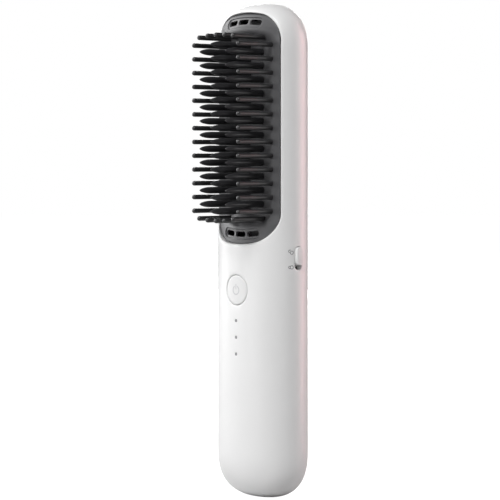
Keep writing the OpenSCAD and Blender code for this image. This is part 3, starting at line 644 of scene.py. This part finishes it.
outer_places = [(side * OUTER_X, HEAD_Z + row * ROW_PITCH)
                for side in (-1, 1) for row in range(-ROW_HALF, ROW_HALF + 1)]
end_places = [(col * END_ROW_PITCH,
               HEAD_Z + side * (END_ROW_Z - END_ROW_R
                                + math.sqrt(END_ROW_R ** 2 - (col * END_ROW_PITCH) ** 2)))
              for side in (-1, 1) for col in range(-2, 3)]
middle_places = [(0.0, HEAD_Z + row * ROW_PITCH) for row in range(-ROW_HALF, ROW_HALF + 1)]
side_places = [(side * SIDE_X, HEAD_Z + (row + 0.5) * ROW_PITCH)
               for side in (-1, 1) for row in range(-ROW_HALF, ROW_HALF)]


def join(pieces):
    """Joins pieces into the first one."""
    alone(pieces[0])
    for piece in pieces[1:]:
        piece.select_set(True)
    bpy.ops.object.join()
    return pieces[0]


def band_outline(side, height, from_turn, to_turn, corner):
    """Points round a band of the vent arc with round corners, with outward directions. They
    start in the middle of one end, so that opposite points lie across the band."""
    centre_z = HEAD_Z + side * (VENT_Z - VENT_ARC_R)
    half = height / 2 - corner
    low = from_turn + corner / VENT_ARC_R
    high = to_turn - corner / VENT_ARC_R
    corner_steps, arc_steps = 8, 12
    marks = []
    for i in range(corner_steps + 1):
        marks.append((low, half, low - math.pi / 2 * (1 - i / corner_steps)))
    for i in range(1, arc_steps):
        turn = low + (high - low) * i / arc_steps
        marks.append((turn, half, turn))
    for i in range(corner_steps + 1):
        marks.append((high, half, high + math.pi / 2 * i / corner_steps))
    for i in range(corner_steps + 1):
        marks.append((high, -half, high + math.pi / 2 * (1 + i / corner_steps)))
    for i in range(1, arc_steps):
        turn = high + (low - high) * i / arc_steps
        marks.append((turn, -half, turn + math.pi))
    for i in range(corner_steps + 1):
        marks.append((low, -half, low + math.pi + math.pi / 2 * i / corner_steps))
    points = []
    for turn, up, facing in marks:
        radius = VENT_ARC_R + up
        points.append((radius * math.sin(turn) + corner * math.sin(facing),
                       centre_z + side * (radius * math.cos(turn) + corner * math.cos(facing)),
                       math.sin(facing), side * math.cos(facing)))
    return points


def sunk_tool(name, outline, steps):
    """A cutting tool that is sunk into the plate: each step holds how far its ring lies
    outside the outline, and how deep under the front, in millimetres."""
    rings = []
    for out, depth in steps:
        rings.append([(x + out * MM * nx,
                       plate_front(x + out * MM * nx, z + out * MM * nz) + depth * MM,
                       z + out * MM * nz) for x, z, nx, nz in outline])
    rings.append([(x, FAR_FRONT, z) for x, y, z in rings[-1]])
    return ring_form(name, rings)


def plate_blank():
    """A slab larger than the plate: a grid that is set on the plate's front and drawn back
    by its thickness."""
    low = HEAD_Z - PLATE_HALF_LENGTH - BLANK_MARGIN
    high = HEAD_Z + PLATE_HALF_LENGTH + BLANK_MARGIN
    bpy.ops.object.select_all(action="DESELECT")
    bpy.ops.mesh.primitive_grid_add(x_subdivisions=76, y_subdivisions=150, size=1)
    blank = bpy.context.object
    blank.name = "face_plate_skin"
    for vert in blank.data.vertices:
        x = 2 * (PLATE_HALF_WIDTH + BLANK_MARGIN) * vert.co.x
        z = low + (high - low) * (vert.co.y + 0.5)
        vert.co = (x, plate_front(x, z), z)
    bpy.ops.object.mode_set(mode="EDIT")
    bpy.ops.mesh.select_all(action="SELECT")
    bpy.ops.mesh.extrude_region_move(TRANSFORM_OT_translate={"value": (0, PLATE_WALL, 0)})
    bpy.ops.mesh.select_all(action="SELECT")
    bpy.ops.mesh.normals_make_consistent(inside=False)
    bpy.ops.object.mode_set(mode="OBJECT")
    return blank


face_plate = plate_blank()
cut(face_plate, rolled_tool("plate edge", plate_outline(0.0), plate_front, PLATE_EDGE,
                            POCKET_FLOOR, outwards=-1), "INTERSECT")
vent_step = 2 * math.asin(VENT_PITCH / 2 / VENT_ARC_R)
vent_half = math.asin(VENT_WIDTH / 2 / VENT_ARC_R)
recess_half = vent_step + vent_half + math.asin(VENT_BORDER / VENT_ARC_R)
recess_height = VENT_HEIGHT + 2 * VENT_BORDER
depth = VENT_RECESS / MM
for side in (-1, 1):
    cut(face_plate, sunk_tool(
        "vent recess", band_outline(side, recess_height, -recess_half, recess_half,
                                    recess_height / 2 - 0.01 * MM),
        ((-1.95, depth), (-1.5, depth), (-1.0, depth), (-0.5, depth), (-0.15, depth),
         (0, depth - 0.15), (0.05, 0.12), (0.2, -0.02))))
    for slot in (-1, 0, 1):
        outline = band_outline(side, VENT_HEIGHT, slot * vent_step - vent_half,
                               slot * vent_step + vent_half, VENT_CORNER)
        cut(face_plate, sunk_tool("vent", outline, (
            (0, 3), (0, depth + 0.2), (0.06, depth + 0.05), (0.2, depth - 0.03))))
for places, radius in ((outer_places + end_places, PIN_R),
                       (middle_places + side_places, TOOTH_R)):
    cut(face_plate, join([rod("tooth hole", x, z, radius + TOOTH_GAP, -20 * MM, 0.0, 28)
                          for x, z in places]))
smooth(face_plate)

# Glass-filled nylon with a matt leather-like erosion texture, which scatters the light.
grey_nylon = moulded_plastic("grey nylon, matt", "#505052", 0.46, 0.3 * MM, 0.012 * MM)
dress(face_plate, grey_nylon)
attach(face_plate, "body")
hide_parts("face_plate")


# Heated teeth
# Pointed teeth of die-cast aluminium in a baked black coating: three staggered rows, on a
# base that the heater warms from behind.
COMB_FRONT = -5.1 * MM
TOOTH_TIP = 6.4 * MM
SIDE_REACH = 28.2 * MM
MIDDLE_REACH = 29.2 * MM
TIP_STEPS = 10
TIP_POWER = 0.65
LAST_SHARE = 0.97


def turned(name, profile, sides):
    """A solid of revolution about Y: a filled circle, drawn forward and resized ring by ring,
    and closed in a point. The profile holds radii with their Y."""
    radius, y = profile[0]
    bpy.ops.object.select_all(action="DESELECT")
    bpy.ops.mesh.primitive_circle_add(vertices=sides, radius=radius, fill_type="NGON",
                                      location=(0, y, 0), rotation=(math.radians(90), 0, 0))
    piece = bpy.context.object
    piece.name = name
    bpy.ops.object.transform_apply(location=True, rotation=True, scale=True)
    bpy.ops.object.mode_set(mode="EDIT")
    bpy.ops.mesh.select_all(action="SELECT")
    for (before, y_before), (after, y_after) in zip(profile, profile[1:]):
        bpy.ops.mesh.extrude_region_move(
            TRANSFORM_OT_translate={"value": (0, y_after - y_before, 0)})
        if after > 0:
            share = after / before
            bpy.ops.transform.resize(value=(share, 1, share), center_override=(0, y_after, 0))
        else:
            bpy.ops.mesh.merge(type="CENTER")
    bpy.ops.mesh.select_all(action="SELECT")
    bpy.ops.mesh.normals_make_consistent(inside=False)
    bpy.ops.object.mode_set(mode="OBJECT")
    return piece


def planted(tooth, places):
    """Copies of a tooth at each place in the plate."""
    copies = []
    for x, z in places:
        copy = tooth.copy()
        copy.data = tooth.data.copy()
        copy.location = (x, 0, z)
        bpy.context.collection.objects.link(copy)
        copies.append(copy)
    bpy.data.objects.remove(tooth, do_unlink=True)
    return copies


def set_of_teeth(name, copies):
    """The copies as one piece, with its object at the origin."""
    piece = join(copies)
    piece.name = name
    bpy.ops.object.transform_apply(location=True, rotation=True, scale=True)
    return piece


def heated_tooth(reach):
    """A straight shank with a long rounded point."""
    profile = [(TOOTH_R, COMB_FRONT)]
    for share in [i / TIP_STEPS for i in range(TIP_STEPS)] + [LAST_SHARE]:
        profile.append((TOOTH_R * (1 - share * share) ** TIP_POWER,
                        TOOTH_TIP * (1 - share) - reach))
    return turned("heated_tooth", profile + [(0, -reach)], 20)


heated_teeth = set_of_teeth("heated_teeth_cast",
                            planted(heated_tooth(MIDDLE_REACH), middle_places)
                            + planted(heated_tooth(SIDE_REACH), side_places))
smooth(heated_teeth, 40)
# A ceramic-filled baked lacquer: near black with a satin gloss.
black_lacquer = moulded_plastic("black baked lacquer", "#313133", 0.36, 0.2 * MM, 0.003 * MM)
dress(heated_teeth, black_lacquer)
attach(heated_teeth, "body")
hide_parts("heated_teeth")


# Guard pins
# Slender nylon pins that keep the scalp off the heated teeth, moulded with round tips on one
# frame round the heated base.
FRAME_FRONT = -2.9 * MM
OUTER_REACH = 27 * MM


def guard_pin():
    """A slender pin with a round tip."""
    profile = [(PIN_R, FRAME_FRONT)]
    for i in range(6):
        turn = math.pi / 2 * i / 6
        profile.append((PIN_R * math.cos(turn), PIN_R * (1 - math.sin(turn)) - OUTER_REACH))
    return turned("guard_pin", profile + [(0, -OUTER_REACH)], 18)


guard_pins = set_of_teeth("guard_pins_moulded", planted(guard_pin(), outer_places + end_places))
smooth(guard_pins, 40)
# Black nylon, polished by its mould.
black_nylon = moulded_plastic("black nylon, satin", "#333334", 0.33, 0.2 * MM, 0.003 * MM)
dress(guard_pins, black_nylon)
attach(guard_pins, "body")
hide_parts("guard_pins")


# Power button
# A white cap that follows the front of the handle, with a soft edge in a fine groove. Its
# flange keeps it in, and its stem presses the switch behind it.
BUTTON_EDGE = 0.7 * MM
BUTTON_FLANGE_R = BUTTON_R + 1 * MM
BUTTON_FLANGE_FRONT = body_front(BUTTON_FLANGE_R, BUTTON_Z, SHELL_WALL) + 0.2 * MM
BUTTON_FLANGE = 0.9 * MM
BUTTON_BACK = -10.72 * MM
STEM_R = 2 * MM
CROWN_RADII = (5.2, 4.5, 3.8, 3.1, 2.4, 1.7, 1.0, 0.4, 0)


def button_cap():
    """The cap, from its stem to its crown, which is then set on the front of the body."""
    back = BUTTON_FLANGE_FRONT + BUTTON_FLANGE
    profile = [(STEM_R, BUTTON_BACK), (STEM_R, back), (BUTTON_FLANGE_R, back),
               (BUTTON_FLANGE_R, BUTTON_FLANGE_FRONT), (BUTTON_R, BUTTON_FLANGE_FRONT)]
    for i in range(7):
        turn = math.pi / 2 * i / 6
        profile.append((BUTTON_R - BUTTON_EDGE * (1 - math.cos(turn)),
                        BUTTON_EDGE * (1 - math.sin(turn)) - HALF_DEPTH))
    profile += [(radius * MM, -HALF_DEPTH) for radius in CROWN_RADII]
    cap = turned("power_button_cap", profile, 96)
    for vert in cap.data.vertices:
        vert.co.z += BUTTON_Z
        if vert.co.y < BUTTON_FLANGE_FRONT - 1e-6:
            vert.co.y += HALF_DEPTH + body_front(vert.co.x, vert.co.z)
    return cap


button = button_cap()
smooth(button, 40)
button_abs = moulded_plastic("white ABS, button", "#e7e7e7", 0.34, 0.25 * MM, 0.003 * MM)
dress(button, button_abs)
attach(button, "power_button")
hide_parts("power_button")


# Travel lock
# A white pill on the right side that slides down to lock the brush, with two small printed
# padlocks in front of it.
LOCK_PROUD = 1.1 * MM
LOCK_KNOB_Z = LOCK_Z + LOCK_TRAVEL / 2
LOCK_EDGE = 0.35 * MM
SLIDER_WIDTH = 1.7 * MM
SLIDER_LENGTH = 2.5 * MM
SLIDER_DEPTH = 1.5 * MM
FLANGE_PAST = 1 * MM


def block(name, low, high):
    """A block between two corners."""
    bpy.ops.object.select_all(action="DESELECT")
    bpy.ops.mesh.primitive_cube_add(size=1, location=[(a + b) / 2 for a, b in zip(low, high)])
    piece = bpy.context.object
    piece.name = name
    piece.scale = [b - a for a, b in zip(low, high)]
    bpy.ops.object.transform_apply(location=True, rotation=True, scale=True)
    return piece


def lock_knob():
    """A rod along X, pulled out into a pill, rounded at its face and set on its flange."""
    low_x = LOCK_FLANGE_X - LOCK_FLANGE
    top = HALF_WIDTH + LOCK_PROUD
    pull = (LOCK_LENGTH - LOCK_WIDTH) / 2
    bpy.ops.object.select_all(action="DESELECT")
    bpy.ops.mesh.primitive_cylinder_add(vertices=48, radius=LOCK_WIDTH / 2, depth=top - low_x,
                                        location=((low_x + top) / 2, LOCK_Y, LOCK_KNOB_Z),
                                        rotation=(0, math.radians(90), 0))
    knob = bpy.context.object
    knob.name = "lock_knob_pill"
    bpy.ops.object.transform_apply(location=True, rotation=True, scale=True)
    for vert in knob.data.vertices:
        rise = vert.co.z - LOCK_KNOB_Z
        if abs(rise) > 1e-6:
            vert.co.z += math.copysign(pull, rise)
    bpy.ops.object.mode_set(mode="EDIT")
    bpy.context.tool_settings.mesh_select_mode = (False, True, False)
    bpy.ops.mesh.select_all(action="DESELECT")
    bpy.ops.object.mode_set(mode="OBJECT")
    for edge in knob.data.edges:
        edge.select = all(knob.data.vertices[i].co.x > top - 1e-6 for i in edge.vertices)
    bpy.ops.object.mode_set(mode="EDIT")
    bpy.ops.mesh.bevel(offset=LOCK_EDGE, segments=6, profile=0.5, affect="EDGES")
    bpy.ops.object.mode_set(mode="OBJECT")
    half_width = LOCK_FLANGE_WIDTH / 2
    half_length = LOCK_LENGTH / 2 + FLANGE_PAST
    cut(knob, block("flange", (low_x, LOCK_Y - half_width, LOCK_KNOB_Z - half_length),
                    (LOCK_FLANGE_X, LOCK_Y + half_width, LOCK_KNOB_Z + half_length)), "UNION")
    cut(knob, block("slider pocket",
                    (low_x - 1 * MM, LOCK_Y - SLIDER_WIDTH / 2, LOCK_KNOB_Z - SLIDER_LENGTH / 2),
                    (low_x + SLIDER_DEPTH, LOCK_Y + SLIDER_WIDTH / 2,
                     LOCK_KNOB_Z + SLIDER_LENGTH / 2)))
    return knob


knob = lock_knob()
smooth(knob, 35)
dress(knob, button_abs)
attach(knob, "lock")
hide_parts("lock_knob")

# Padlocks, printed beside the slot with their bodies to the back: open above, closed below.
# Their lines are thin strips that stand a little proud of the shell.
PRINT_PROUD = 0.012 * MM
PRINT_SINK = 0.05 * MM
PRINT_LINE = 0.28 * MM
OPEN_LOCK_Z = 102.0 * MM
CLOSED_LOCK_Z = 96.0 * MM
PADLOCK_Y = -3.5 * MM
PADLOCK_R = 0.68 * MM
SHACKLE_HALF = 0.5 * MM
SHACKLE_REACH = 1.35 * MM
SHACKLE_FOOT = 0.45 * MM
SHACKLE_LIFT = 0.6 * MM


def printed_line(name, path, closed=False):
    """A line of print on the right side, along points given as Y and Z."""
    rings = []
    count = len(path)
    for i in range(count):
        before = Vector(path[(i - 1) % count if closed else max(i - 1, 0)])
        after = Vector(path[(i + 1) % count if closed else min(i + 1, count - 1)])
        along = (after - before).normalized()
        out = Vector((-along.y, along.x)) * PRINT_LINE / 2
        here = Vector(path[i])
        ring = []
        for point, height in ((here - out, -PRINT_SINK), (here + out, -PRINT_SINK),
                              (here + out, PRINT_PROUD), (here - out, PRINT_PROUD)):
            ring.append((body_side(point.x, point.y) + height, point.x, point.y))
        rings.append(ring)
    return ring_form(name, rings, closed)


def padlock(centre_z, opened):
    """A ring for the body of a padlock, and its shackle to the front."""
    ring = [(PADLOCK_Y + PADLOCK_R * math.cos(a), centre_z + PADLOCK_R * math.sin(a))
            for a in (2 * math.pi * i / 24 for i in range(24))]
    foot_y = PADLOCK_Y - SHACKLE_FOOT
    bend_y = PADLOCK_Y - SHACKLE_REACH + SHACKLE_HALF
    bend_z = centre_z + (SHACKLE_LIFT if opened else 0.0)
    shackle = [(foot_y, bend_z + SHACKLE_HALF)]
    for i in range(9):
        a = math.pi / 2 + math.pi * i / 8
        shackle.append((bend_y + SHACKLE_HALF * math.cos(a), bend_z + SHACKLE_HALF * math.sin(a)))
    if not opened:
        shackle.append((foot_y, centre_z - SHACKLE_HALF))
    return [printed_line("padlock_print", ring, closed=True),
            printed_line("padlock_print", shackle)]


padlocks = join(padlock(OPEN_LOCK_Z, True) + padlock(CLOSED_LOCK_Z, False))
# Pad-printed grey ink, a little duller than the plastic under it.
grey_ink = moulded_plastic("grey printing ink", "#8f8f92", 0.55, 0.2 * MM, 0.002 * MM)
dress(padlocks, grey_ink)
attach(padlocks, "body")


# Parts kept from the frame
# The pieces inside, and the small ones outside, have the right shape already and take the
# finish of the material that they are made of.
def plated_metal(name, colour, roughness, brush):
    """Sheet or turned metal with fine drawn lines along Z."""
    material, tree = new_material(name)
    place = add_node(tree, "ShaderNodeTexCoord").outputs["Object"]
    drawn = add_node(tree, "ShaderNodeMapping", {"Vector": place, "Scale": (1.0, 1.0, 0.06)})
    lines = add_node(tree, "ShaderNodeTexNoise", {
        "Vector": drawn.outputs["Vector"], "Scale": 1 / brush, "Detail": 2.0})
    bump = add_node(tree, "ShaderNodeBump", {
        "Height": lines.outputs["Fac"], "Strength": 0.3, "Distance": 0.01 * MM})
    sheen = add_node(tree, "ShaderNodeMapRange", {
        "Value": lines.outputs["Fac"], "To Min": roughness - 0.06, "To Max": roughness + 0.08})
    metal = add_node(tree, "ShaderNodeBsdfPrincipled", {
        "Base Color": srgb(colour), "Metallic": 1.0, "Roughness": sheen.outputs["Result"],
        "Normal": bump.outputs["Normal"]})
    add_node(tree, "ShaderNodeOutputMaterial", {"Surface": metal.outputs["BSDF"]})
    return material


def solder_mask():
    """Glass-epoxy board under green lacquer, with the faint pattern of its copper tracks."""
    material, tree = new_material("green solder mask")
    place = add_node(tree, "ShaderNodeTexCoord").outputs["Object"]
    tracks = add_node(tree, "ShaderNodeTexBrick", {
        "Vector": place, "Scale": 260.0, "Mortar Size": 0.03, "Color1": srgb("#0f5a34"),
        "Color2": srgb("#0c4d2c"), "Mortar": srgb("#1d7a49")})
    lacquer = add_node(tree, "ShaderNodeBsdfPrincipled", {
        "Base Color": tracks.outputs["Color"], "Roughness": 0.3, "IOR": 1.5})
    add_node(tree, "ShaderNodeOutputMaterial", {"Surface": lacquer.outputs["BSDF"]})
    return material


def light_guide():
    """Frosted acrylic that passes the light of the indicators, here unlit."""
    material, tree = new_material("frosted acrylic")
    place = add_node(tree, "ShaderNodeTexCoord").outputs["Object"]
    frost = add_node(tree, "ShaderNodeTexNoise", {"Vector": place, "Scale": 4000.0})
    bump = add_node(tree, "ShaderNodeBump", {
        "Height": frost.outputs["Fac"], "Strength": 0.4, "Distance": 0.01 * MM})
    acrylic = add_node(tree, "ShaderNodeBsdfPrincipled", {
        "Base Color": srgb("#8e8e90"), "Roughness": 0.4, "IOR": 1.49,
        "Normal": bump.outputs["Normal"]})
    add_node(tree, "ShaderNodeOutputMaterial", {"Surface": acrylic.outputs["BSDF"]})
    return material


finishes = {
    light_guide(): ["light_pipe"],
    moulded_plastic("grey inlay", "#cbcbcd", 0.4, 0.2 * MM, 0.002 * MM): ["button_mark"],
    black_lacquer: ["comb_base"],
    black_nylon: ["pin_frame"],
    moulded_plastic("fired alumina", "#e6e2d6", 0.6, 0.15 * MM, 0.004 * MM): ["heater"],
    moulded_plastic("mica sheet", "#b8a884", 0.35, 0.6 * MM, 0.01 * MM, mottle=0.15):
        ["insulation_sheet"],
    plated_metal("zinc-plated steel", "#c3c5c9", 0.3, 0.2 * MM):
        ["clamp_plate", "comb_screws", "carrier_screws", "cradle_screws", "board_screws"],
    plated_metal("bright nickel", "#cfc9bd", 0.22, 0.15 * MM):
        ["cell_tab_low", "cell_tab_high", "charge_socket"],
    plated_metal("stainless needle wire", "#d5d6d8", 0.2, 0.1 * MM):
        ["ion_needles_top", "ion_needles_bottom", "thermal_fuse"],
    moulded_plastic("epoxy bead", "#7a4a2c", 0.2, 0.3 * MM, 0.002 * MM): ["thermistor"],
    moulded_plastic("grey nylon, inner", "#454548", 0.5, 0.3 * MM, 0.01 * MM):
        ["head_carrier", "cradle"],
    moulded_plastic("black housing plastic", "#1c1c1e", 0.45, 0.25 * MM, 0.006 * MM):
        ["ion_holder_top", "ion_holder_bottom", "board_chips", "tact_switch", "tact_plunger",
         "switch_slider", "lock_switch", "socket_tongue"],
    moulded_plastic("potting resin", "#3c3c40", 0.25, 1.5 * MM, 0.02 * MM): ["ion_module"],
    moulded_plastic("shrink film", "#3f6fa8", 0.28, 0.8 * MM, 0.01 * MM): ["battery_cell"],
    solder_mask(): ["main_board", "switch_board", "charge_board"],
    moulded_plastic("LED lens", "#efe9c8", 0.2, 0.2 * MM, 0.002 * MM): ["indicator_leds"],
    moulded_plastic("red silicone", "#a8201a", 0.45, 0.3 * MM, 0.004 * MM):
        ["heater_leads", "battery_lead"],
    moulded_plastic("grey silicone", "#87878a", 0.45, 0.3 * MM, 0.004 * MM):
        ["ion_leads", "charge_lead"],
}
for finish, names in finishes.items():
    for name in names:
        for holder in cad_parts[name].material_slots:
            holder.material = finish
